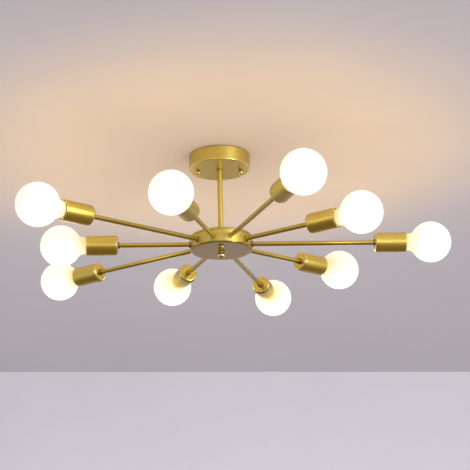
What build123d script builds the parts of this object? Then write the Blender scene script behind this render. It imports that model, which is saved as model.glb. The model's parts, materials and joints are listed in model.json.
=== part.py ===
from build123d import *

import math
import os

# Ten-arm semi-flush ceiling light: a round canopy, a stem, a drum hub and radial arms of two lengths.
# The ceiling is the plane z = 0 and the light hangs below it, with the stem on the Z axis.
# The first long arm lies along +X, and the arms are numbered anticlockwise seen from above.

# Driving dimensions, in millimetres
CANOPY_DIAMETER = 120.0
CANOPY_HEIGHT = 28.0
STEM_DROP = 138.0
STEM_DIAMETER = 10.5
HUB_DIAMETER = 120.0
HUB_HEIGHT = 28.0
ARM_COUNT = 10
ARM_DROP = 17.0
ARM_DIAMETER = 9.0
LONG_ARM = 240.0
SHORT_ARM = 140.0
CUP_DIAMETER = 38.5
CUP_LENGTH = 61.0
GLOBE_DIAMETER = 80.0
GLOBE_CENTRE_FROM_CUP = 50.0
SHEET = 1.0
TUBE_WALL = 1.0

# Radial room round a passing piece, round a ring that is clamped, and between mating threads
HOLE_ROOM = 0.15
RING_ROOM = 0.05
THREAD_ROOM = 0.1

# Levels below the ceiling
CANOPY_BOTTOM = -CANOPY_HEIGHT
CANOPY_FLOOR = CANOPY_BOTTOM + SHEET
HUB_TOP = CANOPY_BOTTOM - STEM_DROP
HUB_CEILING = HUB_TOP - SHEET
HUB_BOTTOM = HUB_TOP - HUB_HEIGHT
ARM_LEVEL = HUB_TOP - ARM_DROP

# Radii that several pieces share
CANOPY_R = CANOPY_DIAMETER / 2
HUB_R = HUB_DIAMETER / 2
STEM_R = STEM_DIAMETER / 2
ARM_R = ARM_DIAMETER / 2
CUP_R = CUP_DIAMETER / 2
GLOBE_R = GLOBE_DIAMETER / 2

# Ceiling bracket: a joggled strip with two slots, two stud holes and a tab for the terminal block
BRACKET_LENGTH = 104.0
BRACKET_WIDTH = 16.0
BRACKET_THICK = 1.5
BRACKET_FLAT = 66.0
BRACKET_JOGGLE = 4.0
JOGGLE_RUN = 5.0
JOGGLE_BEND = 2.0
SLOT_SPACING = 48.0
SLOT_LENGTH = 12.0
SLOT_WIDTH = 4.6
TAB_WIDTH = 18.0
TAB_REACH = 28.0

# Studs that hang from the bracket, and the ball nuts on them
STUD_SPACING = 84.0
STUD_R = 2.0
STUD_HEAD_R = 3.6
STUD_HEAD = 2.2
STUD_TAIL = 6.3
NUT_BALL_R = 4.5
NUT_BALL_DROP = 6.0
NUT_NECK_R = 3.7
NUT_FOOT_R = 4.1

# Terminal block under the tab
TERMINAL_WIDTH = 26.0
TERMINAL_DEPTH = 16.0
TERMINAL_HEIGHT = 11.0
TERMINAL_POLES = 3
TERMINAL_ENTRY_R = 1.8
TERMINAL_ENTRY = 4.0
TERMINAL_SCREW_R = 1.6
TERMINAL_WELL = 4.4
TERMINAL_EDGE = 1.0

# Stem collars, nuts and washers
STEM_COLLAR_R = 6.8
STEM_COLLAR_THICK = 2.0
STEM_NUT_FLATS = 14.0
STEM_NUT_THICK = 4.0
STEM_WASHER_R = 9.0
STEM_WASHER_THICK = 1.0
STEM_END_ABOVE = 11.0
STEM_END_BELOW = 9.0
NUT_EDGE = 0.5
COLLAR_EDGE = 0.4
TUBE_EDGE = 0.3

# Sheet-metal edges, and the pieces of the hub
CANOPY_EDGE = 2.0
HUB_SHOULDER = 4.0
SEAM_DROP = 5.0
SEAM_WIDTH = 1.0
SEAM_DEPTH = 0.5
COVER_GAP = 0.4
COVER_DEPTH = 3.0
COVER_EDGE = 2.5
STRAP_WIDTH = 10.0
STRAP_THICK = 1.5
STRAP_HALF_SPAN = 27.0
STRAP_BEND = 3.0
STRAP_AZIMUTH = 18.0
SCREW_R = 2.5
SCREW_HEAD_R = 4.6
SCREW_HEAD = 2.4
SCREW_TAIL = 9.0
SCREW_POINT = 0.5
FINIAL_BALL_R = 7.2
FINIAL_BALL_DROP = 8.2
FINIAL_NECK_R = 5.9
FINIAL_FOOT_R = 6.5

# Arm ends
ARM_COLLAR_R = 6.5
ARM_COLLAR_THICK = 3.0
SADDLE_DEPTH = 2.0
ARM_NUT_FLATS = 13.0
ARM_NUT_THICK = 4.0
ARM_END_IN_HUB = 9.0
ARM_END_IN_HOLDER = 9.0

# Socket cup and lamp holder, measured from the back of the cup
CUP_WALL = 0.8
CUP_SHOULDER = 5.0
CUP_LIP = 0.3
HOLDER_R = 18.1
HOLDER_BACK_R = 11.0
HOLDER_DOME = 7.0
HOLDER_SHOULDER = 3.0
HOLDER_EDGE = 1.0
HOLDER_LIP = 0.5
HOLDER_MOUTH = 53.0
HOLDER_BORE_R = 14.45
HOLDER_BORE_END = 28.0
HOLDER_WELL_R = 9.0
HOLDER_WELL_END = 24.0
HOLDER_WIRE_R = 3.6
HOLDER_WIRE_END = 17.0
SHELL_WALL = 0.8
SHELL_INNER_R = 13.55
SHELL_FROM = 30.0
SHELL_TO = 50.0
CONTACT_R = 4.5
CONTACT_THICK = 1.8
CONTACT_EDGE = 0.6

# Bulb, measured from the centre of its globe towards the hub
GLASS = 1.2
NECK_R = 16.5
NECK_BLEND = 14.0
NECK_END = 58.0
NECK_END_R = 13.6
CAP_R = 13.2
CAP_COLLAR = 2.0
CAP_END = 80.0
CAP_EDGE = 1.0
BUTTON_R = 5.0
BUTTON_FROM = 83.0
BULB_TIP = 85.0

# Wiring
LEAD_WIDTH = 4.4
LEAD_THICK = 2.2
LEAD_END_GAP = 1.0
SUPPLY_R = 2.5
SUPPLY_BEND = 8.0
SPLICE_R = 9.0
SPLICE_HEIGHT = 9.0
SPLICE_GAP = 1.5
SPLICE_EDGE = 1.0

# Levels worked out from the sizes above
STEM_TOP_END = CANOPY_FLOOR + STEM_END_ABOVE
STEM_LOW_END = HUB_CEILING - STRAP_THICK - STEM_END_BELOW
COVER_LOW = HUB_BOTTOM - COVER_DEPTH
COVER_TOP = COVER_LOW + SHEET
SPLICE_TOP = STEM_LOW_END - SPLICE_GAP
SPLICE_LOW = SPLICE_TOP - SPLICE_HEIGHT


def rounded(points, radii):
    """A face inside a closed outline, with a radius at each corner and 0 for a sharp one."""
    return make_face(FilletPolyline(*points, radius=radii, close=True))


def turned_on_x(face):
    """A profile drawn as (distance along the arm, radius), turned about the arm's axis."""
    return revolve(face, Axis.X)


def turned_on_z(face):
    """A profile drawn as (radius, height), turned about the stem's axis."""
    return revolve(Plane.XZ * face, Axis.Z)


def ring_on_x(outer, inner, start, end, edge):
    """A ring or tube on an arm's axis, with rounded outer edges."""
    points = [(start, inner), (start, outer), (end, outer), (end, inner)]
    return turned_on_x(rounded(points, [0, edge, edge, 0]))


def ring_on_z(outer, inner, low, high, edge):
    """A ring or tube on the stem's axis, with rounded outer edges."""
    points = [(inner, low), (outer, low), (outer, high), (inner, high)]
    return turned_on_z(rounded(points, [0, edge, edge, 0]))


def headed_screw(shank_r, head_r, head, seat, end):
    """A pan-head screw on Z: its head rests on the level seat and its shank goes down to the level end."""
    top = seat + head
    points = [(0, end), (shank_r, end), (shank_r, seat), (head_r, seat), (head_r, top), (0, top)]
    return turned_on_z(rounded(points, [0, SCREW_POINT, 0, 0, head / 2, 0]))


def ball_knob(base, ball_r, ball_drop, neck_r, foot_r, bore_r, bore_depth):
    """A ball on a short neck with a flared foot, screwed up against the face at the level base."""
    neck_end = base - ball_drop + math.sqrt(ball_r**2 - neck_r**2)
    flare = foot_r - neck_r
    pole = base - ball_drop - ball_r
    bore_end = base - bore_depth
    outline = Polyline(
        (0, pole), (0, bore_end), (bore_r, bore_end), (bore_r, base),
        (foot_r, base), (foot_r, base - flare), (neck_r, base - 2 * flare), (neck_r, neck_end),
    )
    outline += ThreePointArc((neck_r, neck_end), (ball_r, base - ball_drop), (0, pole))
    return turned_on_z(make_face(outline))


def hex_nut(flats, bore_r, thick):
    """A hexagon nut on Z, from 0 up to its thickness, with its corners turned off."""
    corner_r = flats / 2 / math.cos(math.radians(30))
    hexagon = extrude(RegularPolygon(corner_r, 6), thick)
    return hexagon & ring_on_z(corner_r, bore_r, 0, thick, NUT_EDGE)


def arm_layout():
    """Azimuth and tube length of each arm, long and short in turn."""
    step = 360 / ARM_COUNT
    return [(n * step, SHORT_ARM if n % 2 else LONG_ARM) for n in range(ARM_COUNT)]


def at_arm(shape, azimuth):
    """Takes a piece built along +X at height 0 to its arm."""
    return Rot(0, 0, azimuth) * (Pos(0, 0, ARM_LEVEL) * shape)


def at_studs(shape):
    """The two copies of a piece that stand at the studs, on +X and on -X."""
    return [Pos(side * STUD_SPACING / 2, 0, 0) * shape for side in (1, -1)]


def group(pieces):
    """Separate solids that share one node."""
    return Compound(children=[solid for piece in pieces for solid in piece.solids()])


# Canopy and what fixes it to the ceiling

def canopy():
    """Drawn cup, open at the ceiling, with holes for the stem and the two bracket studs."""
    hole_r = STEM_R + HOLE_ROOM
    points = [
        (hole_r, CANOPY_BOTTOM),
        (CANOPY_R, CANOPY_BOTTOM),
        (CANOPY_R, 0),
        (CANOPY_R - SHEET, 0),
        (CANOPY_R - SHEET, CANOPY_FLOOR),
        (hole_r, CANOPY_FLOOR),
    ]
    cup = turned_on_z(rounded(points, [0, CANOPY_EDGE, 0, 0, CANOPY_EDGE - SHEET, 0]))
    stud_hole = Pos(0, 0, CANOPY_BOTTOM) * Cylinder(STUD_R + 2 * HOLE_ROOM, 4 * SHEET)
    return cup - at_studs(stud_hole)


def ceiling_bracket():
    """Steel strip whose ends step down to leave room for the stud heads against the ceiling."""
    half = BRACKET_LENGTH / 2
    flat = BRACKET_FLAT / 2
    left = [(-half, -BRACKET_JOGGLE), (-flat - JOGGLE_RUN, -BRACKET_JOGGLE), (-flat, 0)]
    top = left + [(-x, z) for x, z in reversed(left)]
    under = [(x, z - BRACKET_THICK) for x, z in reversed(top)]
    radii = [0, JOGGLE_BEND, JOGGLE_BEND, JOGGLE_BEND, JOGGLE_BEND, 0]
    strip = extrude(Plane.XZ * rounded(top + under, radii + radii), BRACKET_WIDTH / 2, both=True)
    strip += Pos(0, TAB_REACH / 2, -BRACKET_THICK / 2) * Box(TAB_WIDTH, TAB_REACH, BRACKET_THICK)
    slot = extrude(SlotOverall(SLOT_LENGTH, SLOT_WIDTH), 2 * BRACKET_THICK, both=True)
    slots = [Pos(side * SLOT_SPACING / 2, 0, 0) * slot for side in (1, -1)]
    stud_hole = Pos(0, 0, -BRACKET_JOGGLE) * Cylinder(STUD_R + HOLE_ROOM, 4 * BRACKET_THICK)
    return strip - slots - at_studs(stud_hole)


def bracket_studs():
    """Two pan-head screws that hang from the bracket's ends and pass through the canopy."""
    end = CANOPY_BOTTOM - STUD_TAIL
    return group(at_studs(headed_screw(STUD_R, STUD_HEAD_R, STUD_HEAD, -BRACKET_JOGGLE, end)))


def canopy_ball_nuts():
    """A small ball nut on each of the canopy's studs."""
    bore_r = STUD_R + THREAD_ROOM
    bore = STUD_TAIL + SCREW_POINT
    return at_studs(ball_knob(CANOPY_BOTTOM, NUT_BALL_R, NUT_BALL_DROP, NUT_NECK_R, NUT_FOOT_R, bore_r, bore))


def terminal_block():
    """Three-pole connector under the bracket's tab, with wire entries and screw wells."""
    low = -BRACKET_THICK - TERMINAL_HEIGHT
    middle_y = TAB_REACH - TERMINAL_DEPTH / 2
    middle_z = low + TERMINAL_HEIGHT / 2
    block = Pos(0, middle_y, middle_z) * Box(TERMINAL_WIDTH, TERMINAL_DEPTH, TERMINAL_HEIGHT)
    block = chamfer(block.edges().filter_by(Axis.Y), TERMINAL_EDGE)
    entry = Rot(90, 0, 0) * Cylinder(TERMINAL_ENTRY_R, 2 * TERMINAL_ENTRY)
    well = Cylinder(TERMINAL_SCREW_R, 2 * TERMINAL_WELL)
    pitch = TERMINAL_WIDTH / TERMINAL_POLES
    for pole in range(TERMINAL_POLES):
        x = (pole - (TERMINAL_POLES - 1) / 2) * pitch
        block -= Pos(x, TAB_REACH, middle_z) * entry
        for row in (-1, 1):
            block -= Pos(x, middle_y + row * TERMINAL_DEPTH / 4, low) * well
    return block


# Stem

def stem_tube():
    """Tube from inside the canopy to inside the hub, open for the supply lead."""
    return ring_on_z(STEM_R, STEM_R - TUBE_WALL, STEM_LOW_END, STEM_TOP_END, TUBE_EDGE)


def stem_collars():
    """Shoulder rings that the canopy and the hub are clamped against."""
    collar = ring_on_z(STEM_COLLAR_R, STEM_R + RING_ROOM, 0, STEM_COLLAR_THICK, COLLAR_EDGE)
    return group([Pos(0, 0, CANOPY_BOTTOM - STEM_COLLAR_THICK) * collar, Pos(0, 0, HUB_TOP) * collar])


def stem_fasteners():
    """A washer and a hexagon nut at each end of the stem, inside the canopy and inside the hub."""
    bore_r = STEM_R + RING_ROOM
    nut = hex_nut(STEM_NUT_FLATS, bore_r, STEM_NUT_THICK)
    washer = ring_on_z(STEM_WASHER_R, bore_r, 0, STEM_WASHER_THICK, 0)
    low_washer = HUB_CEILING - STRAP_THICK - STEM_WASHER_THICK
    return group([
        Pos(0, 0, CANOPY_FLOOR) * washer,
        Pos(0, 0, CANOPY_FLOOR + STEM_WASHER_THICK) * nut,
        Pos(0, 0, low_washer) * washer,
        Pos(0, 0, low_washer - STEM_NUT_THICK) * nut,
    ])


# Hub

def hub_housing():
    """Drawn drum with a rounded shoulder, open below, with a rolled seam and a ring of holes for the arms."""
    hole_r = STEM_R + HOLE_ROOM
    points = [
        (hole_r, HUB_TOP),
        (HUB_R, HUB_TOP),
        (HUB_R, HUB_BOTTOM),
        (HUB_R - SHEET, HUB_BOTTOM),
        (HUB_R - SHEET, HUB_CEILING),
        (hole_r, HUB_CEILING),
    ]
    drum = turned_on_z(rounded(points, [0, HUB_SHOULDER, 0, 0, HUB_SHOULDER - SHEET, 0]))
    seam_top = HUB_TOP - SEAM_DROP
    drum -= ring_on_z(HUB_R + SHEET, HUB_R - SEAM_DEPTH, seam_top - SEAM_WIDTH, seam_top, 0)
    arm_hole = Pos(HUB_R, 0, 0) * (Rot(0, 90, 0) * Cylinder(ARM_R + HOLE_ROOM, HUB_R / 2))
    return drum - [at_arm(arm_hole, azimuth) for azimuth, _ in arm_layout()]


def hub_cover():
    """Shallow round-edged lid that closes the drum from below, with a hole for the finial's screw."""
    edge_r = HUB_R - COVER_GAP
    hole_r = SCREW_R + 2 * HOLE_ROOM
    points = [
        (hole_r, COVER_LOW), (edge_r, COVER_LOW), (edge_r, HUB_BOTTOM),
        (edge_r - SHEET, HUB_BOTTOM), (edge_r - SHEET, COVER_TOP), (hole_r, COVER_TOP),
    ]
    return turned_on_z(rounded(points, [0, COVER_EDGE, 0, 0, COVER_EDGE - SHEET, 0]))


def hub_strap():
    """Bent steel loop under the drum's top, which carries the finial's screw at its foot."""
    width = 2 * STRAP_HALF_SPAN
    height = HUB_CEILING - COVER_TOP
    outer = RectangleRounded(width, height, STRAP_BEND)
    inner = RectangleRounded(width - 2 * STRAP_THICK, height - 2 * STRAP_THICK, STRAP_BEND - STRAP_THICK)
    loop = extrude(Plane.XZ * (outer - inner), STRAP_WIDTH / 2, both=True)
    loop = Pos(0, 0, COVER_TOP + height / 2) * loop
    loop -= Pos(0, 0, HUB_CEILING) * Cylinder(STEM_R + HOLE_ROOM, 4 * STRAP_THICK)
    loop -= Pos(0, 0, COVER_TOP) * Cylinder(SCREW_R + HOLE_ROOM, 4 * STRAP_THICK)
    return Rot(0, 0, STRAP_AZIMUTH) * loop


def finial_screw():
    """Pan-head screw that hangs from the strap through the cover."""
    return headed_screw(SCREW_R, SCREW_HEAD_R, SCREW_HEAD, COVER_TOP + STRAP_THICK, COVER_LOW - SCREW_TAIL)


def finial():
    """Ball knob that holds the cover up."""
    bore_r = SCREW_R + THREAD_ROOM
    bore = SCREW_TAIL + SCREW_POINT
    return ball_knob(COVER_LOW, FINIAL_BALL_R, FINIAL_BALL_DROP, FINIAL_NECK_R, FINIAL_FOOT_R, bore_r, bore)


# Arms and lamp sockets

def arm_tube(length):
    """Tube from inside the hub to inside the lamp holder, open for the twin lead."""
    start = HUB_R - ARM_END_IN_HUB
    end = HUB_R + length + ARM_END_IN_HOLDER
    return ring_on_x(ARM_R, ARM_R - TUBE_WALL, start, end, TUBE_EDGE)


def arm_collars(length):
    """A ring saddled on the drum and a flat one behind the cup."""
    bore_r = ARM_R + RING_ROOM
    seat = HUB_R + length
    saddle = ring_on_x(ARM_COLLAR_R, bore_r, HUB_R - SADDLE_DEPTH, HUB_R + ARM_COLLAR_THICK, COLLAR_EDGE)
    flat = ring_on_x(ARM_COLLAR_R, bore_r, seat - ARM_COLLAR_THICK, seat, COLLAR_EDGE)
    return [saddle - Cylinder(HUB_R, HUB_HEIGHT), flat]


def arm_nut():
    """Hexagon nut inside the drum, drawn up until its corners meet the curved wall."""
    corner_r = ARM_NUT_FLATS / 2 / math.cos(math.radians(30))
    face = math.sqrt((HUB_R - SHEET) ** 2 - corner_r**2)
    nut = hex_nut(ARM_NUT_FLATS, ARM_R + RING_ROOM, ARM_NUT_THICK)
    return Pos(face - ARM_NUT_THICK, 0, 0) * (Rot(0, 90, 0) * nut)


def socket_cup():
    """Drawn cup with a rounded back, open towards the bulb."""
    bore_r = ARM_R + HOLE_ROOM
    inner_r = CUP_R - CUP_WALL
    points = [
        (0, bore_r), (0, CUP_R), (CUP_LENGTH, CUP_R),
        (CUP_LENGTH, inner_r), (CUP_WALL, inner_r), (CUP_WALL, bore_r),
    ]
    return turned_on_x(rounded(points, [0, CUP_SHOULDER, CUP_LIP, CUP_LIP, CUP_SHOULDER - CUP_WALL, 0]))


def lamp_holder():
    """Porcelain holder body: a socket for the arm's end, a wire way and a bore for the screw shell."""
    bore_r = ARM_R + HOLE_ROOM
    arm_stop = ARM_END_IN_HOLDER + HOLE_ROOM
    outside = [
        (CUP_WALL, bore_r),
        (CUP_WALL, HOLDER_BACK_R),
        (CUP_WALL + HOLDER_DOME, HOLDER_R),
        (HOLDER_MOUTH, HOLDER_R),
        (HOLDER_MOUTH, HOLDER_BORE_R),
    ]
    inside = [
        (HOLDER_BORE_END, HOLDER_BORE_R),
        (HOLDER_BORE_END, HOLDER_WELL_R),
        (HOLDER_WELL_END, HOLDER_WELL_R),
        (HOLDER_WELL_END, 0),
        (HOLDER_WIRE_END, 0),
        (HOLDER_WIRE_END, HOLDER_WIRE_R),
        (arm_stop, HOLDER_WIRE_R),
        (arm_stop, bore_r),
    ]
    radii = [0, HOLDER_EDGE, HOLDER_SHOULDER, HOLDER_EDGE, HOLDER_LIP] + [0] * len(inside)
    return turned_on_x(rounded(outside + inside, radii))


def holder_contacts():
    """Brass screw shell and centre contact of one holder."""
    shell = ring_on_x(SHELL_INNER_R + SHELL_WALL, SHELL_INNER_R, SHELL_FROM, SHELL_TO, 0)
    low = HOLDER_WELL_END
    high = HOLDER_WELL_END + CONTACT_THICK
    contact = rounded([(low, 0), (low, CONTACT_R), (high, CONTACT_R), (high, 0)], [0, 0, CONTACT_EDGE, 0])
    return [shell, turned_on_x(contact)]


def globe_outline(inset):
    """Globe, hollow blend and neck of the glass, from the pole to the neck's end, set in by a thickness.

    Drawn as (distance along the arm from the globe's centre, radius). The blend's arc touches both
    the globe and the neck's cylinder, and the neck then tapers to its end.
    """
    globe_r = GLOBE_R - inset
    blend_r = NECK_BLEND + inset
    centre_r = NECK_R + NECK_BLEND
    centre_x = -math.sqrt((GLOBE_R + NECK_BLEND) ** 2 - centre_r**2)
    lean = math.atan2(centre_r, centre_x)
    blend_lean = (lean - math.pi - math.pi / 2) / 2
    touch = (globe_r * math.cos(lean), globe_r * math.sin(lean))
    globe_middle = (globe_r * math.cos(lean / 2), globe_r * math.sin(lean / 2))
    blend_middle = (centre_x + blend_r * math.cos(blend_lean), centre_r + blend_r * math.sin(blend_lean))
    neck = (centre_x, NECK_R - inset)
    return [
        ThreePointArc((globe_r, 0), globe_middle, touch),
        ThreePointArc(touch, blend_middle, neck),
        Line(neck, (-NECK_END, NECK_END_R - inset)),
    ]


def bulb():
    """Opal glass envelope and its screw cap, with the globe's centre on the origin."""
    pole = Line((GLOBE_R, 0), (GLOBE_R - GLASS, 0))
    rim = Line((-NECK_END, NECK_END_R), (-NECK_END, NECK_END_R - GLASS))
    envelope = turned_on_x(make_face(globe_outline(0) + [rim] + globe_outline(GLASS) + [pole]))
    cap_points = [
        (-NECK_END, 0),
        (-NECK_END, NECK_END_R),
        (-NECK_END - CAP_COLLAR, CAP_R),
        (-CAP_END, CAP_R),
        (-BUTTON_FROM, BUTTON_R),
        (-BULB_TIP, BUTTON_R),
        (-BULB_TIP, 0),
    ]
    cap = turned_on_x(rounded(cap_points, [0, 0, 0, CAP_EDGE, 0, CAP_EDGE, 0]))
    return group([envelope, cap])


# Wiring

def splice_sleeve():
    """Heat-proof sleeve over the joint of the supply lead and the arms' leads."""
    points = [(0, SPLICE_LOW), (SPLICE_R, SPLICE_LOW), (SPLICE_R, SPLICE_TOP), (0, SPLICE_TOP)]
    return turned_on_z(rounded(points, [0, SPLICE_EDGE, SPLICE_EDGE, 0]))


def arm_lead(length):
    """Twin lead lying on the bottom of an arm's bore, from the splice to the lamp holder."""
    core_r = LEAD_THICK / 2
    core_room = ARM_R - TUBE_WALL - core_r - RING_ROOM
    drop = math.sqrt(core_room**2 - (LEAD_WIDTH / 2 - core_r) ** 2)
    end = HUB_R + length + HOLDER_WIRE_END - LEAD_END_GAP
    section = Plane.YZ * SlotOverall(LEAD_WIDTH, LEAD_THICK)
    return Pos(SPLICE_R, 0, -drop) * extrude(section, end - SPLICE_R)


def supply_lead():
    """Round lead up the stem and over to the terminal block."""
    entry_level = -BRACKET_THICK - TERMINAL_HEIGHT / 2
    block_face = TAB_REACH - TERMINAL_DEPTH
    start = (0, 0, SPLICE_TOP)
    path = FilletPolyline(start, (0, 0, entry_level), (0, block_face, entry_level), radius=[SUPPLY_BEND])
    return sweep(Plane(start) * Circle(SUPPLY_R), path)


def build():
    """Every node of the light, by name."""
    ball_nuts = canopy_ball_nuts()
    nodes = {
        "canopy": canopy(),
        "ceiling_bracket": ceiling_bracket(),
        "bracket_studs": bracket_studs(),
        "canopy_ball_nut_1": ball_nuts[0],
        "canopy_ball_nut_2": ball_nuts[1],
        "terminal_block": terminal_block(),
        "stem_tube": stem_tube(),
        "stem_collars": stem_collars(),
        "stem_fasteners": stem_fasteners(),
        "hub_housing": hub_housing(),
        "hub_cover": hub_cover(),
        "hub_strap": hub_strap(),
        "finial_screw": finial_screw(),
        "finial": finial(),
        "splice_sleeve": splice_sleeve(),
    }
    cup = socket_cup()
    holder = lamp_holder()
    contacts = holder_contacts()
    lamp = bulb()
    nut = arm_nut()
    shared = {"arm_collars": [], "arm_hub_nuts": [], "holder_contacts": [], "wiring_leads": [supply_lead()]}
    for number, (azimuth, length) in enumerate(arm_layout(), start=1):
        seat = Pos(HUB_R + length, 0, 0)
        globe = Pos(HUB_R + length + CUP_LENGTH + GLOBE_CENTRE_FROM_CUP, 0, 0)
        nodes[f"arm_tube_{number:02d}"] = at_arm(arm_tube(length), azimuth)
        nodes[f"socket_cup_{number:02d}"] = at_arm(seat * cup, azimuth)
        nodes[f"lamp_holder_{number:02d}"] = at_arm(seat * holder, azimuth)
        nodes[f"bulb_{number:02d}"] = at_arm(globe * lamp, azimuth)
        shared["arm_collars"] += [at_arm(ring, azimuth) for ring in arm_collars(length)]
        shared["arm_hub_nuts"].append(at_arm(nut, azimuth))
        shared["holder_contacts"] += [at_arm(seat * piece, azimuth) for piece in contacts]
        shared["wiring_leads"].append(at_arm(arm_lead(length), azimuth))
    for name, pieces in shared.items():
        nodes[name] = group(pieces)
    return nodes


if __name__ == "__main__":
    os.makedirs("parts", exist_ok=True)
    for name, shape in build().items():
        export_step(shape, f"parts/{name}.step")
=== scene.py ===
import json
import math

import bpy
from mathutils import Matrix, Vector


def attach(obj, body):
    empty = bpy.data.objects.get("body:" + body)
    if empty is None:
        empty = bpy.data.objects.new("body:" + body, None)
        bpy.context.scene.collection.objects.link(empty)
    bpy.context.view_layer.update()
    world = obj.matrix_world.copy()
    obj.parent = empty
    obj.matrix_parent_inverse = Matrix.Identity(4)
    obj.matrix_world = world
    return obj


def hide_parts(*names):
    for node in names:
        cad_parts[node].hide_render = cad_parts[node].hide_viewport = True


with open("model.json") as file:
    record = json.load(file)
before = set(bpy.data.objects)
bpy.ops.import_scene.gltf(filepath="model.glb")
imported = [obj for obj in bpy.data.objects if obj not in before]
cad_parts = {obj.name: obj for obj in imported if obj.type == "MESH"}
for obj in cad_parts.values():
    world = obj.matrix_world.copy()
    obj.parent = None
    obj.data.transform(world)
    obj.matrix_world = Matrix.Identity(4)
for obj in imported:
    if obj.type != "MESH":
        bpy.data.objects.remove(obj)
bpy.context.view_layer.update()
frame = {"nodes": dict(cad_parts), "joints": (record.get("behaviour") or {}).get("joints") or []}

# Ceiling bracket, its two studs, and the nuts, washers, strap and screw inside the light.
# Pressed and turned mild steel, zinc plated: cool grey with a cloudy passivated film.
# The bracket is screwed to the ceiling, and all the rest is clamped inside canopy and hub.
nodes = frame["nodes"]


def wire(tree, term, socket):
    """Feeds a socket from another socket, or sets it to a plain value."""
    if isinstance(term, bpy.types.NodeSocket):
        tree.links.new(term, socket)
    else:
        socket.default_value = term


def put(tree, kind, settings=None, **terms):
    """A node of one kind, with its settings made and its inputs fed by name."""
    node = tree.nodes.new(kind)
    for name, value in (settings or {}).items():
        setattr(node, name, value)
    for name, term in terms.items():
        wire(tree, term, node.inputs[name.replace("_", " ")])
    return node


def spot(tree):
    """Where a point is on its piece, in metres."""
    return put(tree, "ShaderNodeTexCoord").outputs["Object"]


def worked(tree, operation, *terms):
    """The result of one Math node."""
    node = put(tree, "ShaderNodeMath", {"operation": operation})
    for socket, term in zip(node.inputs, terms):
        wire(tree, term, socket)
    return node.outputs[0]


def weighed(tree, first, share, second):
    """Two values added, the first by its share and the second by the rest."""
    return worked(tree, "MULTIPLY_ADD", first, share, worked(tree, "MULTIPLY", second, 1 - share))


# A Mix node has sockets for every kind of data, and these are the ones for colours
MIX_SHARE, MIX_LOW, MIX_HIGH, MIX_RESULT = 0, 6, 7, 2


def blended(tree, share, low, high):
    """A colour between two, by a share from 0 to 1."""
    node = put(tree, "ShaderNodeMix", {"data_type": "RGBA"})
    for socket, term in ((MIX_SHARE, share), (MIX_LOW, low), (MIX_HIGH, high)):
        wire(tree, term, node.inputs[socket])
    return node.outputs[MIX_RESULT]


def spread(tree, share, low, high):
    """A value between two, by a share from 0 to 1."""
    return put(tree, "ShaderNodeMapRange", Value=share, To_Min=low, To_Max=high).outputs[0]


def rising(tree, value, start, end, course="LINEAR"):
    """A share that goes from 0 to 1 as a value goes from one mark to another."""
    settings = {"interpolation_type": course}
    return put(tree, "ShaderNodeMapRange", settings, Value=value, From_Min=start, From_Max=end).outputs[0]


def effect(name, inputs, outputs):
    """A new node group: its tree, what it is given by name, and the sockets of what it makes."""
    tree = bpy.data.node_groups.new(name, "ShaderNodeTree")
    for socket, kind in inputs.items():
        tree.interface.new_socket(socket, in_out="INPUT", socket_type=kind)
    for socket, kind in outputs.items():
        tree.interface.new_socket(socket, in_out="OUTPUT", socket_type=kind)
    return tree, tree.nodes.new("NodeGroupInput").outputs, tree.nodes.new("NodeGroupOutput").inputs


def placed(tree, name, **terms):
    """An effect's node in a material, fed by name, as its outputs."""
    node = tree.nodes.new("ShaderNodeGroup")
    node.node_tree = bpy.data.node_groups[name]
    for socket, term in terms.items():
        wire(tree, term, node.inputs[socket])
    return node.outputs


def finish(name):
    """A new material, as the material, its tree and its shader."""
    material = bpy.data.materials.new(name)
    material.use_nodes = True
    return material, material.node_tree, material.node_tree.nodes["Principled BSDF"]


def dress(material, *names):
    """Gives CAD nodes one finish."""
    for name in names:
        nodes[name].data.materials.clear()
        nodes[name].data.materials.append(material)


FLOAT = "NodeSocketFloat"

# Soft clouds all over a surface, as handling and age leave them
CLOUD_FROM, CLOUD_TO = 0.3, 0.7
tree, given, made = effect("soft_haze", {"Size": FLOAT}, {"Haze": FLOAT})
often = worked(tree, "DIVIDE", 1.0, given["Size"])
cloud = put(tree, "ShaderNodeTexNoise", Vector=spot(tree), Scale=often, Detail=4.0, Roughness=0.6)
wire(tree, rising(tree, cloud.outputs[0], CLOUD_FROM, CLOUD_TO), made["Haze"])

ZINC_DARK = (0.33, 0.35, 0.37, 1)
ZINC_LIGHT = (0.60, 0.62, 0.63, 1)
ZINC_GLOSS = (0.24, 0.46)
SPANGLES_A_METRE, SPANGLE_SHARE = 420.0, 0.45
zinc, tree, shader = finish("zinc_plate")
spangle = put(tree, "ShaderNodeTexVoronoi", Vector=spot(tree), Scale=SPANGLES_A_METRE).outputs["Distance"]
mottle = weighed(tree, spangle, SPANGLE_SHARE, placed(tree, "soft_haze", Size=0.012)["Haze"])
wire(tree, blended(tree, mottle, ZINC_DARK, ZINC_LIGHT), shader.inputs["Base Color"])
wire(tree, spread(tree, mottle, *ZINC_GLOSS), shader.inputs["Roughness"])
shader.inputs["Metallic"].default_value = 1.0
dress(zinc, "ceiling_bracket", "bracket_studs", "stem_fasteners", "hub_strap", "finial_screw", "arm_hub_nuts")

# Terminal block: white nylon, moulded in one piece, fixed under the bracket's tab.
# The moulding is milky, with a fine grain from its spark-eroded mould.
NYLON_LOW = (0.66, 0.65, 0.60, 1)
NYLON_HIGH = (0.80, 0.79, 0.75, 1)
NYLON_GLOSS = (0.38, 0.58)
GRAINS_A_METRE, GRAIN_DEPTH = 2600.0, 0.00002


def raised(tree, height, depth, shader):
    """Presses a pattern into a surface, to a depth in metres."""
    bump = put(tree, "ShaderNodeBump", Height=height, Distance=depth)
    wire(tree, bump.outputs[0], shader.inputs["Normal"])


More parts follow.
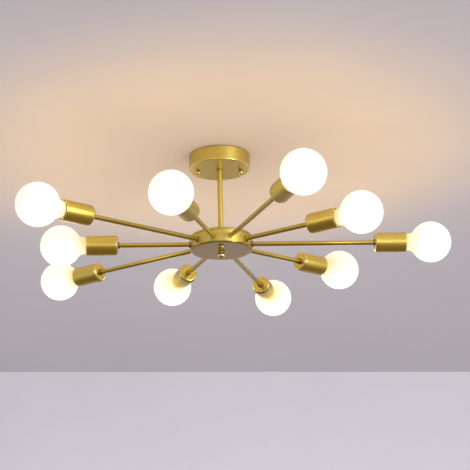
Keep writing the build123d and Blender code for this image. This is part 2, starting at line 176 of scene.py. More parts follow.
nylon, tree, shader = finish("white_nylon")
haze = placed(tree, "soft_haze", Size=0.006)["Haze"]
grain = put(tree, "ShaderNodeTexNoise", Vector=spot(tree), Scale=GRAINS_A_METRE).outputs[0]
wire(tree, blended(tree, haze, NYLON_LOW, NYLON_HIGH), shader.inputs["Base Color"])
wire(tree, spread(tree, grain, *NYLON_GLOSS), shader.inputs["Roughness"])
raised(tree, grain, GRAIN_DEPTH, shader)
dress(nylon, "terminal_block")

# Canopy: a cup drawn from brass sheet, satin finished on a lathe and lacquered, held up by two ball nuts.
# Fine lines run round its side and in rings over its flat underside, which is polished brighter.
# The round edge between the two is polished palest, and its pale tint is partly a painted highlight.


def hypotenuse(tree, first, second):
    """The long side of a right triangle."""
    squares = worked(tree, "MULTIPLY_ADD", first, first, worked(tree, "MULTIPLY", second, second))
    return worked(tree, "SQRT", squares)


# Where a point is on the stem's axis: along it, across it two ways, and its distance from it
AXIS_PLACE = {name: FLOAT for name in ("Along", "Across", "Height", "Ring")}
tree, _, made = effect("stem_frame", {}, AXIS_PLACE)
where = put(tree, "ShaderNodeSeparateXYZ", Vector=spot(tree)).outputs
ring = hypotenuse(tree, where["X"], where["Y"])
for name, term in zip(AXIS_PLACE, (where["Z"], where["X"], where["Y"], ring)):
    wire(tree, term, made[name])

# Lines left by turning, which follow the outline of a turned piece from ring to ring
TURNED_FROM, TURNED_TO = 0.25, 0.75
tree, given, made = effect("turned_lines", {"Along": FLOAT, "Ring": FLOAT, "Pitch": FLOAT}, {"Lines": FLOAT})
place = worked(tree, "DIVIDE", worked(tree, "ADD", given["Along"], given["Ring"]), given["Pitch"])
one_way = {"noise_dimensions": "1D"}
lines = put(tree, "ShaderNodeTexNoise", one_way, W=place, Scale=1.0, Detail=3.0, Roughness=0.7)
wire(tree, rising(tree, lines.outputs[0], TURNED_FROM, TURNED_TO), made["Lines"])

GOLD_DEEP = (0.80, 0.645, 0.135, 1)
GOLD_LIGHT = (0.86, 0.71, 0.17, 1)
# Painted shade toward the outline: the brown a surface turns to where it is seen at a grazing angle
GOLD_EDGE_SHADE = (0.30, 0.20, 0.04, 1)
EDGE_SHADE_SHARE, EDGE_SHADE_POWER = 0.8, 2.0
LINE_SHARE, LINE_DEPTH = 0.5, 0.000003
LACQUER_GLOSS = 0.1


def satin_gold(name, axis, lines, pitch, gloss, lacquer, deep=GOLD_DEEP, light=GOLD_LIGHT):
    """Lacquered satin brass, with lines of one kind and pitch that follow an axis.

    gloss is the range of roughness. Seen at a grazing angle it is painted deeper and browner, as shade.
    """
    material, tree, shader = finish(name)
    point = placed(tree, axis)
    sockets = ("Along", "Ring") if lines == "turned_lines" else ("Along", "Across", "Height")
    brushed = placed(tree, lines, Pitch=pitch, **{socket: point[socket] for socket in sockets})["Lines"]
    tone = weighed(tree, brushed, LINE_SHARE, placed(tree, "soft_haze", Size=0.03)["Haze"])
    # Painted shade: deeper and browner where the surface is seen at a grazing angle
    slant = put(tree, "ShaderNodeLayerWeight", Blend=0.5).outputs["Facing"]
    edge_shade = worked(tree, "MULTIPLY", worked(tree, "POWER", slant, EDGE_SHADE_POWER), EDGE_SHADE_SHARE)
    colour = blended(tree, edge_shade, blended(tree, tone, deep, light), GOLD_EDGE_SHADE)
    wire(tree, colour, shader.inputs["Base Color"])
    wire(tree, spread(tree, tone, *gloss), shader.inputs["Roughness"])
    raised(tree, brushed, LINE_DEPTH, shader)
    shader.inputs["Metallic"].default_value = 1.0
    shader.inputs["Coat Weight"].default_value = lacquer
    shader.inputs["Coat Roughness"].default_value = LACQUER_GLOSS
    return material


def dress_faces(name, finishes, chosen):
    """Gives a CAD node several finishes: chosen(face) is the place of a face's finish in their list."""
    dress(finishes[0], name)
    skin = nodes[name].data
    for material in finishes[1:]:
        skin.materials.append(material)
    for face in skin.polygons:
        face.material_index = chosen(face)


# How far a face's normal goes along a direction: straight against it, or turned against it at all
STRAIGHT, TURNED = -0.97, -0.05


def canopy_finish(face):
    """0 on the side and inside, 1 on the flat underside, 2 on the round edge."""
    if face.normal.z < STRAIGHT:
        return 1
    return 2 if face.normal.z < TURNED else 0


# Painted shade: the upright sides of canopy, hub and stem are a deeper gold
SPUN_SHADE_DEEP = (0.70, 0.57, 0.125, 1)
SPUN_SHADE_LIGHT = (0.76, 0.63, 0.16, 1)
FACE_DEEP = (0.87, 0.70, 0.135, 1)
FACE_LIGHT = (0.93, 0.76, 0.165, 1)
# The round edge's paler gold: polished, and partly a painted highlight
PALE_HIGHLIGHT_DEEP = (0.90, 0.78, 0.32, 1)
PALE_HIGHLIGHT_LIGHT = (0.95, 0.84, 0.38, 1)
spun_gold = satin_gold(
    "spun_gold", "stem_frame", "turned_lines",
    pitch=0.0009, gloss=(0.36, 0.42), lacquer=0.3, deep=SPUN_SHADE_DEEP, light=SPUN_SHADE_LIGHT,
)
face_gold = satin_gold(
    "face_gold", "stem_frame", "turned_lines",
    pitch=0.0009, gloss=(0.30, 0.36), lacquer=0.3, deep=FACE_DEEP, light=FACE_LIGHT,
)
edge_gold = satin_gold(
    "edge_gold", "stem_frame", "turned_lines",
    pitch=0.0004, gloss=(0.28, 0.34), lacquer=0.6, deep=PALE_HIGHLIGHT_DEEP, light=PALE_HIGHLIGHT_LIGHT,
)
dress_faces("canopy", (spun_gold, face_gold, edge_gold), canopy_finish)

# Ball nuts: two small balls turned from brass bar, screwed on the bracket's studs to hold the canopy up.
# They are polished brighter than the sheet, with faint turning lines. The necks are painted brown as shade.
# How far up a nut's neck the painted shade reaches, in metres
NUT_SHADED_NECK = 0.0028
BALL_DEEP = (0.84, 0.70, 0.24, 1)
BALL_LIGHT = (0.90, 0.77, 0.30, 1)
# Painted shade: the brown of necks, collars, rings and the lid's round edge
SHADE_BROWN_DEEP = (0.40, 0.295, 0.07, 1)
SHADE_BROWN_LIGHT = (0.48, 0.36, 0.10, 1)
ball_gold = satin_gold(
    "ball_gold", "stem_frame", "turned_lines",
    pitch=0.0005, gloss=(0.20, 0.28), lacquer=0.8, deep=BALL_DEEP, light=BALL_LIGHT,
)
shaded_collar_gold = satin_gold(
    "shaded_collar_gold", "stem_frame", "turned_lines",
    pitch=0.0006, gloss=(0.26, 0.34), lacquer=0.2, deep=SHADE_BROWN_DEEP, light=SHADE_BROWN_LIGHT,
)
screws = {joint["child"]: joint for joint in frame["joints"]}


def dress_ball(name, neck):
    """A polished ball that hangs on a neck painted brown as shade, whose length is given in metres."""
    shade_end = screws[name]["pos_m"][2] - neck
    dress_faces(name, (ball_gold, shaded_collar_gold), lambda face: int(face.center.z > shade_end))


for n in (1, 2):
    dress_ball(f"canopy_ball_nut_{n}", NUT_SHADED_NECK)

# Stem: a drawn brass tube with a turned collar at each end, clamped by nuts inside canopy and hub.
# The satin lines of the tube run along it, and the collars are painted brown as shade.

# Lines left by drawing a tube through its die, which run along it
DRAWN_FROM, DRAWN_TO, DRAWN_STRETCH = 0.3, 0.7, 0.02
drawn = {name: FLOAT for name in ("Along", "Across", "Height", "Pitch")}
tree, given, made = effect("drawn_lines", drawn, {"Lines": FLOAT})
far = worked(tree, "MULTIPLY", given["Along"], DRAWN_STRETCH)
whole = put(tree, "ShaderNodeCombineXYZ", X=far, Y=given["Across"], Z=given["Height"]).outputs[0]
often = worked(tree, "DIVIDE", 1.0, given["Pitch"])
lines = put(tree, "ShaderNodeTexNoise", Vector=whole, Scale=often, Detail=2.0)
wire(tree, rising(tree, lines.outputs[0], DRAWN_FROM, DRAWN_TO), made["Lines"])

# The stem's deeper gold is painted shade
stem_gold = satin_gold(
    "stem_gold", "stem_frame", "drawn_lines",
    pitch=0.0008, gloss=(0.34, 0.40), lacquer=0.3, deep=SPUN_SHADE_DEEP, light=SPUN_SHADE_LIGHT,
)
dress(stem_gold, "stem_tube")
# The collars are painted brown as shade
dress(shaded_collar_gold, "stem_collars")

# Hub: a drum drawn from brass sheet, bored for the arms, with a seam round its top painted dark as shade.
# A shallow lid closes it, smooth enough to mirror the ball that is screwed up under it to hold it.
# The lid's round edge is painted brown, as a painted dark reflection.
SEAM_TOP, SEAM_END, SEAM_OUTER = -0.1709, -0.1721, 0.05995
LID_FLAT = -0.95
# How far up the finial's neck the painted shade reaches, in metres
FINIAL_SHADED_NECK = 0.0022
SEAM_SHADE_DEEP = (0.16, 0.10, 0.03, 1)
SEAM_SHADE_LIGHT = (0.22, 0.14, 0.045, 1)
LID_DEEP = (0.53, 0.435, 0.22, 1)
LID_LIGHT = (0.58, 0.48, 0.26, 1)
# Painted shade: the seam is dark as the shade in its groove
shaded_seam_gold = satin_gold(
    "shaded_seam_gold", "stem_frame", "turned_lines",
    pitch=0.0006, gloss=(0.40, 0.50), lacquer=0.0, deep=SEAM_SHADE_DEEP, light=SEAM_SHADE_LIGHT,
)
lid_gold = satin_gold(
    "lid_gold", "stem_frame", "turned_lines",
    pitch=0.0012, gloss=(0.10, 0.16), lacquer=0.5, deep=LID_DEEP, light=LID_LIGHT,
)


def drum_finish(face):
    """0 on the drum, 1 in its seam, which is painted dark as shade."""
    return int(SEAM_END < face.center.z < SEAM_TOP and face.center.to_2d().length < SEAM_OUTER)


# The drum's deeper gold is painted shade
dress_faces("hub_housing", (spun_gold, shaded_seam_gold), drum_finish)
# The lid's round edge is painted brown as a dark reflection
dress_faces("hub_cover", (lid_gold, shaded_collar_gold), lambda face: int(face.normal.z > LID_FLAT))
dress_ball("finial", FINIAL_SHADED_NECK)

# Arms: ten drawn brass tubes, long and short in turn, with a turned ring at the drum and at the cup.
# Each is held by a nut inside the drum, and its satin lines run along it.
# The rings are painted brown as shade where arms meet drum and cups; those at the drum have a gold face.
ARM_COUNT = 10
ARM_STEP = 2 * math.pi / ARM_COUNT
ARM_LEVEL = screws["bulb_01"]["pos_m"][2]
HUB_RING_REACH, RING_FRONT = 0.075, 0.6
ARM_DEEP = (0.62, 0.49, 0.10, 1)
ARM_LIGHT = (0.70, 0.565, 0.13, 1)

# Where a point is on the axis of the arm that it belongs to, the same for all ten arms
tree, _, made = effect("arm_frame", {}, AXIS_PLACE)
where = put(tree, "ShaderNodeSeparateXYZ", Vector=spot(tree)).outputs
reach = hypotenuse(tree, where["X"], where["Y"])
bearing = worked(tree, "ARCTAN2", where["Y"], where["X"])
nearest = worked(tree, "ROUND", worked(tree, "DIVIDE", bearing, ARM_STEP))
turn = worked(tree, "MULTIPLY_ADD", nearest, -ARM_STEP, bearing)
along = worked(tree, "MULTIPLY", reach, worked(tree, "COSINE", turn))
across = worked(tree, "MULTIPLY", reach, worked(tree, "SINE", turn))
height = worked(tree, "SUBTRACT", where["Z"], ARM_LEVEL)
for name, term in zip(AXIS_PLACE, (along, across, height, hypotenuse(tree, across, height))):
    wire(tree, term, made[name])

arm_gold = satin_gold(
    "arm_gold", "arm_frame", "drawn_lines",
    pitch=0.0008, gloss=(0.28, 0.34), lacquer=0.3, deep=ARM_DEEP, light=ARM_LIGHT,
)
# Painted shade: the rings are brown where the arms meet drum and cups
shaded_ring_gold = satin_gold(
    "shaded_ring_gold", "arm_frame", "turned_lines",
    pitch=0.0006, gloss=(0.22, 0.30), lacquer=0.2, deep=SHADE_BROWN_DEEP, light=SHADE_BROWN_LIGHT,
)
bright_ring = satin_gold(
    "bright_ring", "arm_frame", "turned_lines", pitch=0.0006, gloss=(0.28, 0.34), lacquer=0.3
)


def ring_finish(face):
    """0 on a ring painted brown as shade, 1 on the outward face of a ring at the drum."""
    centre = face.center.to_2d()
    bearing = round(math.atan2(centre.y, centre.x) / ARM_STEP) * ARM_STEP
    front = face.normal.dot(Vector((math.cos(bearing), math.sin(bearing), 0)))
    return int(centre.length < HUB_RING_REACH and front > RING_FRONT)


numbers = [f"{n:02d}" for n in range(1, ARM_COUNT + 1)]
dress(arm_gold, *(f"arm_tube_{n}" for n in numbers))
dress_faces("arm_collars", (shaded_ring_gold, bright_ring), ring_finish)

# Socket cups: drawn from thin brass sheet, satin finished round and round, open towards the bulb.
# Each is held between the arm's ring and the lamp holder inside it. Its back and its round edge are
# polished, and inside, the drawn sheet is left dull and painted brown as shade.
INSIDE = -0.5
# Painted shade: the inside of a cup is brown
DULL_SHADE_DEEP = (0.44, 0.33, 0.11, 1)
DULL_SHADE_LIGHT = (0.53, 0.41, 0.15, 1)
cup_gold = satin_gold(
    "cup_gold", "arm_frame", "turned_lines", pitch=0.0010, gloss=(0.34, 0.40), lacquer=0.3
)
dull_shaded_brass = satin_gold(
    "dull_shaded_brass", "arm_frame", "turned_lines",
    pitch=0.0015, gloss=(0.45, 0.60), lacquer=0.0, deep=DULL_SHADE_DEEP, light=DULL_SHADE_LIGHT,
)
rim_gold = satin_gold(
    "rim_gold", "arm_frame", "turned_lines",
    pitch=0.0005, gloss=(0.26, 0.32), lacquer=0.3, deep=BALL_DEEP, light=BALL_LIGHT,
)
back_gold = satin_gold(
    "back_gold", "arm_frame", "turned_lines", pitch=0.0010, gloss=(0.14, 0.20), lacquer=0.3
)


def cup_finish(face, outward):
    """0 on the outside, 1 on the inside, 2 on the round back edge, 3 on the flat back."""
    place = face.center - Vector((0, 0, ARM_LEVEL))
    spoke = place - place.dot(outward) * outward
    if face.normal.dot(spoke.normalized()) < INSIDE:
        return 1
    if face.normal.dot(outward) < STRAIGHT:
        return 3
    return 2 if face.normal.dot(outward) < TURNED else 0


cup_finishes = (cup_gold, dull_shaded_brass, rim_gold, back_gold)
for n in numbers:
    outward = Vector(screws[f"bulb_{n}"]["axis"])
    dress_faces(f"socket_cup_{n}", cup_finishes, lambda face: cup_finish(face, outward))

# Lamp holders: white glazed porcelain, each clamped on its arm's end inside the cup.
# The glaze pools a little, which shows as a faint change of tone.
# A brass screw shell and a brass contact sit in each.
PORCELAIN_LOW = (0.70, 0.68, 0.62, 1)
PORCELAIN_HIGH = (0.83, 0.81, 0.77, 1)
CONTACT_DEEP = (0.55, 0.36, 0.12, 1)
CONTACT_LIGHT = (0.78, 0.56, 0.24, 1)
CONTACT_GLOSS = (0.25, 0.45)


def clouded(name, size, low, high, gloss, metal=0.0, depth=0.0):
    """A finish that drifts in soft clouds between two colours and two grades of gloss.

    size is that of the clouds, and depth is how far they swell the surface, both in metres.
    """
    material, tree, shader = finish(name)
    haze = placed(tree, "soft_haze", Size=size)["Haze"]
    wire(tree, blended(tree, haze, low, high), shader.inputs["Base Color"])
    wire(tree, spread(tree, haze, *gloss), shader.inputs["Roughness"])
    shader.inputs["Metallic"].default_value = metal
    if depth:
        raised(tree, haze, depth, shader)
    return material


porcelain = clouded(
    "glazed_porcelain", size=0.015, low=PORCELAIN_LOW, high=PORCELAIN_HIGH, gloss=(0.12, 0.24), depth=0.00005
)
dress(porcelain, *(f"lamp_holder_{n}" for n in numbers))

contact_brass, tree, shader = finish("contact_brass")
point = placed(tree, "arm_frame")
brushed = placed(tree, "turned_lines", Along=point["Along"], Ring=point["Ring"], Pitch=0.0012)["Lines"]
wire(tree, blended(tree, brushed, CONTACT_DEEP, CONTACT_LIGHT), shader.inputs["Base Color"])
wire(tree, spread(tree, brushed, *CONTACT_GLOSS), shader.inputs["Roughness"])
shader.inputs["Metallic"].default_value = 1.0
dress(contact_brass, "holder_contacts")

# Bulbs: a blown opal glass globe on a tapered neck, cemented into a nickelled screw cap.
# The cap's thread is rolled into thin sheet; black glass and a soldered button close its end.
# All lengths run along X from the globe's centre, with the cap on the minus side.
GLOBE_R = 0.040
NECK_R, NECK_BLEND = 0.0165, 0.014
NECK_END, NECK_END_R = -0.058, 0.0136
TAPER, TAPER_RISE = 0.004, 0.0007
CAP_R, CAP_COLLAR_END, CAP_END = 0.0132, -0.060, -0.080
CAP_ROUND, CAP_ROUND_IN, CAP_LIP = 0.0006, 0.0002, 0.001
THREAD_FROM, THREAD_TO, THREAD_PITCH, THREAD_DEPTH = -0.0612, -0.0785, 0.00363, 0.0011
BLACK_R, BLACK_DROP = 0.0090, 0.0015
BUTTON_R, BUTTON_FROM, BULB_TIP = 0.005, -0.083, -0.085
BUTTON_ROUND, BUTTON_ROUND_IN = 0.0006, 0.0012
GLOBE_STEPS, BLEND_STEPS, THREAD_STEPS, BULB_SPOKES = 44, 10, 56, 72
ON_AXIS = 1e-7
SHARP_EDGE = math.radians(40)


def turned_skin(name, outline, spokes, press):
    """A closed skin turned about X from points (along X, radius), which starts and ends on the axis.

    press(along, angle) gives how far a point is pressed in towards the axis.
    """
    points, rings = [], []
    for along, radius in outline:
        if radius < ON_AXIS:
            rings.append([len(points)])
            points.append((along, 0, 0))
            continue
        rings.append(list(range(len(points), len(points) + spokes)))
        for spoke in range(spokes):
            angle = 2 * math.pi * spoke / spokes
            r = radius - press(along, angle)
            points.append((along, r * math.cos(angle), r * math.sin(angle)))
    faces = []
    for near, off in zip(rings, rings[1:]):
        for k in range(spokes):
            j = (k + 1) % spokes
            if len(near) == 1:
                faces.append((near[0], off[j], off[k]))
            elif len(off) == 1:
                faces.append((near[k], near[j], off[0]))
            else:
                faces.append((near[k], near[j], off[j], off[k]))
    mesh = bpy.data.meshes.new(name)
    mesh.from_pydata(points, [], faces)
    mesh.validate()
    mesh.polygons.foreach_set("use_smooth", [True] * len(mesh.polygons))
    mesh.set_sharp_from_angle(angle=SHARP_EDGE)
    return mesh


def arc(centre, radius, start, end, steps):
    """Points on an arc of the outline, from one angle to another, both included."""
    angles = [start + (end - start) * n / steps for n in range(steps + 1)]
    return [(centre[0] + radius * math.cos(a), centre[1] + radius * math.sin(a)) for a in angles]


def thread_press(along, angle):
    """The rolled thread's depth, which runs out at both ends."""
    if not THREAD_TO < along < THREAD_FROM:
        return 0
    fade = min(1, (THREAD_FROM - along) / THREAD_PITCH, (along - THREAD_TO) / THREAD_PITCH)
    return fade * THREAD_DEPTH * (0.5 + 0.5 * math.cos(2 * math.pi * along / THREAD_PITCH - angle))


blend_r = NECK_R + NECK_BLEND
blend_x = -math.sqrt((GLOBE_R + NECK_BLEND) ** 2 - blend_r**2)
lean = math.atan2(blend_r, blend_x)
outline = arc((0, 0), GLOBE_R, 0, lean, GLOBE_STEPS)
outline[0] = (GLOBE_R, 0)
outline += arc((blend_x, blend_r), NECK_BLEND, lean - math.pi, -math.pi / 2, BLEND_STEPS)[1:]
outline += [(NECK_END + TAPER, NECK_END_R + TAPER_RISE), (NECK_END, NECK_END_R), (CAP_COLLAR_END, CAP_R)]
thread_run = THREAD_TO - THREAD_FROM
outline += [(THREAD_FROM + thread_run * n / THREAD_STEPS, CAP_R) for n in range(THREAD_STEPS + 1)]
outline += [(CAP_END + CAP_ROUND, CAP_R - CAP_ROUND_IN), (CAP_END, CAP_R - CAP_LIP)]
outline += [(CAP_END - BLACK_DROP, BLACK_R), (BUTTON_FROM, BUTTON_R), (BULB_TIP + BUTTON_ROUND, BUTTON_R)]
outline += [(BULB_TIP, BUTTON_R - BUTTON_ROUND_IN), (BULB_TIP, 0)]
bulb_mesh = turned_skin("globe_bulb", outline, BULB_SPOKES, thread_press)

# The glow: white over the globe, creamy down the neck, and painted dark as shade where sunk in the cup.
# Its stops, and the marks after them, are shares of the way from the neck's end to the globe's centre
GLOW_STOPS = (
    # the first two stops are painted shade where the neck is sunk in the cup
    (0.0, (0.010, 0.007, 0.002, 1)),
    (0.12, (0.020, 0.014, 0.005, 1)),
    (0.145, (0.118, 0.089, 0.036, 1)),
    (0.25, (0.130, 0.100, 0.041, 1)),
    (0.40, (0.141, 0.132, 0.084, 1)),
    (0.55, (0.146, 0.146, 0.119, 1)),
    (0.75, (0.149, 0.147, 0.128, 1)),
    (1.0, (0.150, 0.146, 0.134, 1)),
)
GLOW_STRENGTH = 4.0
# Where the painted shade of the sunk neck starts and ends
SUNK_SHADE_FROM, SUNK_SHADE_TO = 0.12, 0.145
LIT_FROM, LIT_TO = 0.25, 0.65
WHITE_FROM, WHITE_TO = 0.1, 0.6
GLOBE_LIGHT = (0.90, 0.74, 0.54, 1)
NECK_LIGHT = (0.55, 0.44, 0.28, 1)
NECK_GLASS = (0.50, 0.48, 0.35, 1)
SUNK_SHADE_GLASS = (0.08, 0.06, 0.03, 1)
COLOUR = "NodeSocketColor"
glows = {name: COLOUR for name in ("Glow", "Light", "Tinted")}
tree, given, made = effect("bulb_glow", {"Glass": COLOUR}, glows)
where = put(tree, "ShaderNodeSeparateXYZ", Vector=spot(tree)).outputs
share = rising(tree, where["X"], NECK_END, 0.0)
ramp = put(tree, "ShaderNodeValToRGB", Fac=share)
stops = ramp.color_ramp.elements
stops.remove(stops[1])
stops[0].position, stops[0].color = GLOW_STOPS[0]
for place, colour in GLOW_STOPS[1:]:
    stops.new(place).color = colour
wire(tree, ramp.outputs[0], made["Glow"])
lit = rising(tree, share, LIT_FROM, LIT_TO)
wire(tree, blended(tree, lit, NECK_LIGHT, GLOBE_LIGHT), made["Light"])
# Painted shade: the glass is painted dark where the neck is sunk in the cup
neck = blended(tree, rising(tree, share, SUNK_SHADE_FROM, SUNK_SHADE_TO), SUNK_SHADE_GLASS, NECK_GLASS)
white = rising(tree, share, WHITE_FROM, WHITE_TO)
wire(tree, blended(tree, white, neck, given["Glass"]), made["Tinted"])

# The camera sees the glow, and everything else gets the warmer light that a bulb casts
OPAL_LOW = (0.66, 0.65, 0.63, 1)
OPAL_HIGH = (0.72, 0.71, 0.69, 1)
OPAL_GLOSS = (0.22, 0.34)
opal, tree, shader = finish("opal_glass")
haze = placed(tree, "soft_haze", Size=0.02)["Haze"]
glow = placed(tree, "bulb_glow", Glass=blended(tree, haze, OPAL_LOW, OPAL_HIGH))
wire(tree, glow["Tinted"], shader.inputs["Base Color"])
wire(tree, spread(tree, haze, *OPAL_GLOSS), shader.inputs["Roughness"])
seen = put(tree, "ShaderNodeLightPath").outputs["Is Camera Ray"]
wire(tree, blended(tree, seen, glow["Light"], glow["Glow"]), shader.inputs["Emission Color"])
shader.inputs["Emission Strength"].default_value = GLOW_STRENGTH

NICKEL_LOW = (0.52, 0.49, 0.44, 1)
NICKEL_HIGH = (0.72, 0.69, 0.63, 1)
nickel = clouded(
    "nickel_cap", size=0.008, low=NICKEL_LOW, high=NICKEL_HIGH, gloss=(0.18, 0.34), metal=1.0
)

BLACK_LOW = (0.012, 0.012, 0.014, 1)
BLACK_HIGH = (0.03, 0.03, 0.034, 1)
black_glass = clouded("black_glass", size=0.004, low=BLACK_LOW, high=BLACK_HIGH, gloss=(0.08, 0.2))

for material in (opal, nickel, black_glass):
    bulb_mesh.materials.append(material)
for face in bulb_mesh.polygons:
    if BUTTON_FROM < face.center.x < CAP_END:
        face.material_index = 2
    elif face.center.x < NECK_END:
        face.material_index = 1

scene = bpy.context.scene
for n in numbers:
    centre = Vector(screws[f"bulb_{n}"]["pos_m"])
    bulb = bpy.data.objects.new(f"globe_bulb_{n}", bulb_mesh)
    scene.collection.objects.link(bulb)
    bulb.matrix_world = Matrix.Translation(centre) @ Matrix.Rotation(math.atan2(centre.y, centre.x), 4, "Z")
    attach(bulb, f"bulb_{n}")
    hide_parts(f"bulb_{n}")

# Wiring: heat-proof twin leads in the arms and a round supply lead in the stem, joined in the hub.
# The covers are extruded and slightly chalky, and a woven glass sleeve goes over the joint.
COVER_LOW = (0.58, 0.56, 0.50, 1)
COVER_HIGH = (0.74, 0.72, 0.67, 1)
YARN = (0.70, 0.68, 0.60, 1)
YARN_GAP = (0.50, 0.47, 0.40, 1)
SLEEVE_GLOSS = (0.6, 0.8)
YARNS_A_METRE = 900.0
cover = clouded("lead_cover", size=0.01, low=COVER_LOW, high=COVER_HIGH, gloss=(0.4, 0.6))
dress(cover, "wiring_leads")

sleeve, tree, shader = finish("glass_sleeve")
weave = put(tree, "ShaderNodeTexBrick", Vector=spot(tree), Scale=YARNS_A_METRE).outputs["Fac"]
wire(tree, blended(tree, weave, YARN, YARN_GAP), shader.inputs["Base Color"])
wire(tree, spread(tree, weave, *SLEEVE_GLOSS), shader.inputs["Roughness"])
dress(sleeve, "splice_sleeve")

# Backdrop: the ceiling that the light is screwed to, a wall behind it and a floor far below.
# All three are plain matt paint, and let a camera behind them look through.
# The ceiling has a hole that the canopy covers, and its paint is warmer near the light: a painted glow.
CEILING_HOLE, CEILING_REACH, CEILING_GAP = 0.050, 3.6, 0.0015
FLOOR_REACH, FLOOR_LEVEL = 9.0, -2.3
WALL_MIDDLE, WALL_TURN, WALL_HALF = Vector((0.106, 1.949, 0)), math.radians(3.757), 1.4
BACKDROP_SPOKES = 96
# Where the ceiling's painted glow starts and ends
PAINTED_GLOW_FROM, PAINTED_GLOW_TO = 0.79, 0.25
WALL_SHADE_FROM, WALL_SHADE_TO = -0.36, -0.80
CEILING_LOW = (0.44, 0.425, 0.475, 1)
CEILING_HIGH = (0.465, 0.45, 0.50, 1)
CEILING_PAINTED_GLOW = (0.66, 0.54, 0.43, 1)
WALL_LOW = (0.655, 0.665, 0.735, 1)
WALL_HIGH = (0.685, 0.695, 0.765, 1)
WALL_SHADE = (0.40, 0.35, 0.33, 1)
FLOOR_LOW = (0.64, 0.60, 0.55, 1)
FLOOR_HIGH = (0.67, 0.63, 0.58, 1)
PAINT_GLOSS = 0.9


def matt_paint(name, low, high):
    """Matt paint in two close tones, as the material, its tree and its shader."""
    material, tree, shader = finish(name)
    haze = placed(tree, "soft_haze", Size=0.6)["Haze"]
    wire(tree, blended(tree, haze, low, high), shader.inputs["Base Color"])
    shader.inputs["Roughness"].default_value = PAINT_GLOSS
    return material, tree, shader


def backdrop_paint(name, low, high):
    """Matt paint that a camera behind it looks through."""
    material, tree, shader = matt_paint(name, low, high)
    clear = put(tree, "ShaderNodeBsdfTransparent").outputs[0]
    behind = put(tree, "ShaderNodeNewGeometry").outputs["Backfacing"]
    one_sided = put(tree, "ShaderNodeMixShader", Fac=behind)
    wire(tree, shader.outputs[0], one_sided.inputs[1])
    wire(tree, clear, one_sided.inputs[2])
    wire(tree, one_sided.outputs[0], tree.nodes["Material Output"].inputs["Surface"])
    return material, tree, shader


def toned(tree, shader, share, colour):
    """Blends one more colour into a paint."""
    base = shader.inputs["Base Color"]
    wire(tree, blended(tree, share, base.links[0].from_socket, colour), base)


def backdrop_face(name, points, faces, material):
    """A flat face that isn't part of the light."""
    mesh = bpy.data.meshes.new(name)
    mesh.from_pydata(points, [], faces)
    mesh.materials.append(material)
    made = bpy.data.objects.new(name, mesh)
    scene.collection.objects.link(made)
    return made


def ring_points(radius, height):
    """Points evenly round the stem's axis."""
    angles = [2 * math.pi * k / BACKDROP_SPOKES for k in range(BACKDROP_SPOKES)]
    return [(radius * math.cos(a), radius * math.sin(a), height) for a in angles]


ceiling_paint, tree, shader = backdrop_paint("ceiling_paint", CEILING_LOW, CEILING_HIGH)
ring = placed(tree, "stem_frame")["Ring"]
# Painted light: the paint turns warmer toward the light, as the glow of its bulbs
toned(tree, shader, rising(tree, ring, PAINTED_GLOW_FROM, PAINTED_GLOW_TO, course="SMOOTHERSTEP"), CEILING_PAINTED_GLOW)
wall_paint, tree, shader = backdrop_paint("wall_paint", WALL_LOW, WALL_HIGH)
level = placed(tree, "stem_frame")["Along"]
toned(tree, shader, rising(tree, level, WALL_SHADE_FROM, WALL_SHADE_TO), WALL_SHADE)
floor_paint = backdrop_paint("floor_paint", FLOOR_LOW, FLOOR_HIGH)[0]

points = ring_points(CEILING_HOLE, CEILING_GAP) + ring_points(CEILING_REACH, CEILING_GAP)
pairs = [(k, (k + 1) % BACKDROP_SPOKES) for k in range(BACKDROP_SPOKES)]
quads = [(k, j, BACKDROP_SPOKES + j, BACKDROP_SPOKES + k) for k, j in pairs]
backdrop_face("ceiling", points, quads, ceiling_paint)
side = Vector((math.cos(WALL_TURN), math.sin(WALL_TURN), 0)) * WALL_HALF
drop = Vector((0, 0, FLOOR_LEVEL))
corners = [WALL_MIDDLE - side, WALL_MIDDLE + side, WALL_MIDDLE + side + drop, WALL_MIDDLE - side + drop]
backdrop_face("back_wall", corners[::-1], [(0, 1, 2, 3)], wall_paint)
backdrop_face("floor", ring_points(FLOOR_REACH, FLOOR_LEVEL), [tuple(range(BACKDROP_SPOKES))], floor_paint)

# Lamps: soft boxes in front and to the right, and a large one below that lights matt surfaces alone.
# The camera sees none of them. A dark card under the light is seen by the metal alone, and keeps
# the undersides of arms and cups brown.
FLAG_SIDE, FLAG_FRONT, FLAG_BACK, FLAG_LEVEL = 2.2, -3.2, 1.4, -1.3
FLAG_LOW = (0.25, 0.17, 0.075, 1)
FLAG_HIGH = (0.30, 0.21, 0.10, 1)


def soft_lamp(name, place, aim, width, height, watts, colour, mirrored=True):
    """A soft box, which polished surfaces mirror where asked."""
    data = bpy.data.lights.new(name, "AREA")
    data.shape, data.size, data.size_y = "RECTANGLE", width, height
    data.energy, data.color = watts, colour
    lamp = bpy.data.objects.new(name, data)
    scene.collection.objects.link(lamp)
    lamp.location = place
    lamp.rotation_mode = "QUATERNION"
    lamp.rotation_quaternion = (Vector(aim) - Vector(place)).to_track_quat("-Z", "Y")
    lamp.visible_camera = False
    lamp.visible_glossy = mirrored


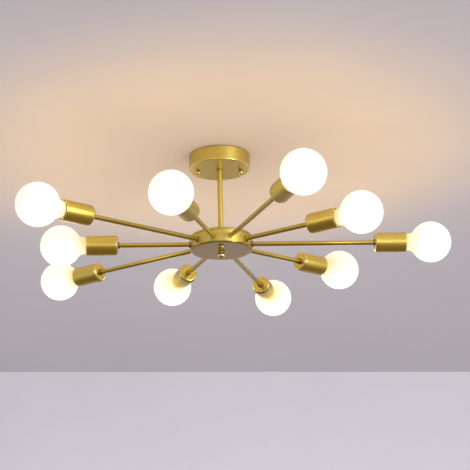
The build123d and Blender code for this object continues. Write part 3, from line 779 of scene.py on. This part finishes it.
soft_lamp(
    "front_lamp", place=(-0.4, -4.2, -0.6), aim=(0, 0, -0.2),
    width=3.2, height=1.6, watts=10.5, colour=(1.0, 0.97, 0.92),
)
soft_lamp(
    "right_lamp", place=(2.6, -2.8, -0.25), aim=(0, 0, -0.15),
    width=1.2, height=0.45, watts=66.0, colour=(1.0, 0.98, 0.95),
)
soft_lamp(
    "bounce_lamp", place=(0, 0.6, -2.2), aim=(0, 0.6, 0),
    width=4.0, height=4.0, watts=57.0, colour=(1.0, 0.98, 0.97), mirrored=False,
)
flag_paint = matt_paint("flag_paint", FLAG_LOW, FLAG_HIGH)[0]
corners = [(-FLAG_SIDE, FLAG_FRONT), (FLAG_SIDE, FLAG_FRONT), (FLAG_SIDE, FLAG_BACK), (-FLAG_SIDE, FLAG_BACK)]
flag = backdrop_face("flag", [(x, y, FLAG_LEVEL) for x, y in corners], [(0, 1, 2, 3)], flag_paint)
flag.visible_camera = flag.visible_diffuse = flag.visible_shadow = False

# Surroundings: a plain pale grey all round, which darkens below the level of the light.
# The metal mirrors it wherever the backdrop ends.
SKY_LOW = (0.30, 0.29, 0.29, 1)
SKY_HIGH = (0.80, 0.78, 0.77, 1)
SKY_FROM, SKY_TO = -0.35, 0.05
world = bpy.data.worlds.new("surroundings")
scene.world = world
world.use_nodes = True
tree = world.node_tree
look = put(tree, "ShaderNodeTexCoord").outputs["Generated"]
rise = put(tree, "ShaderNodeSeparateXYZ", Vector=look).outputs["Z"]
sky = blended(tree, rising(tree, rise, SKY_FROM, SKY_TO), SKY_LOW, SKY_HIGH)
wire(tree, sky, tree.nodes["Background"].inputs["Color"])

# Camera: below the light and in front of it, as the photograph was taken.
# It looks up at the middle of the light from a few steps away, through a long lens.
TARGET = Vector((0.02733, -0.00129, -0.16471))
BEARING, RISE, ROLL = (math.radians(angle) for angle in (-2.70, 18.30, -1.48))
DISTANCE, LENS, SENSOR = 2.6892, 105.508, 36.0
back = Vector((math.sin(BEARING) * math.cos(RISE), -math.cos(BEARING) * math.cos(RISE), -math.sin(RISE)))
level = Vector((math.cos(BEARING), math.sin(BEARING), 0))
upright = back.cross(level)
right = math.cos(ROLL) * level + math.sin(ROLL) * upright
up = math.cos(ROLL) * upright - math.sin(ROLL) * level
camera = bpy.data.objects.new("camera", bpy.data.cameras.new("camera"))
scene.collection.objects.link(camera)
camera.data.lens, camera.data.sensor_width = LENS, SENSOR
turn = Matrix((right, up, back)).transposed().to_4x4()
camera.matrix_world = Matrix.Translation(TARGET + back * DISTANCE) @ turn
scene.camera = camera
scene.view_settings.view_transform = "Standard"
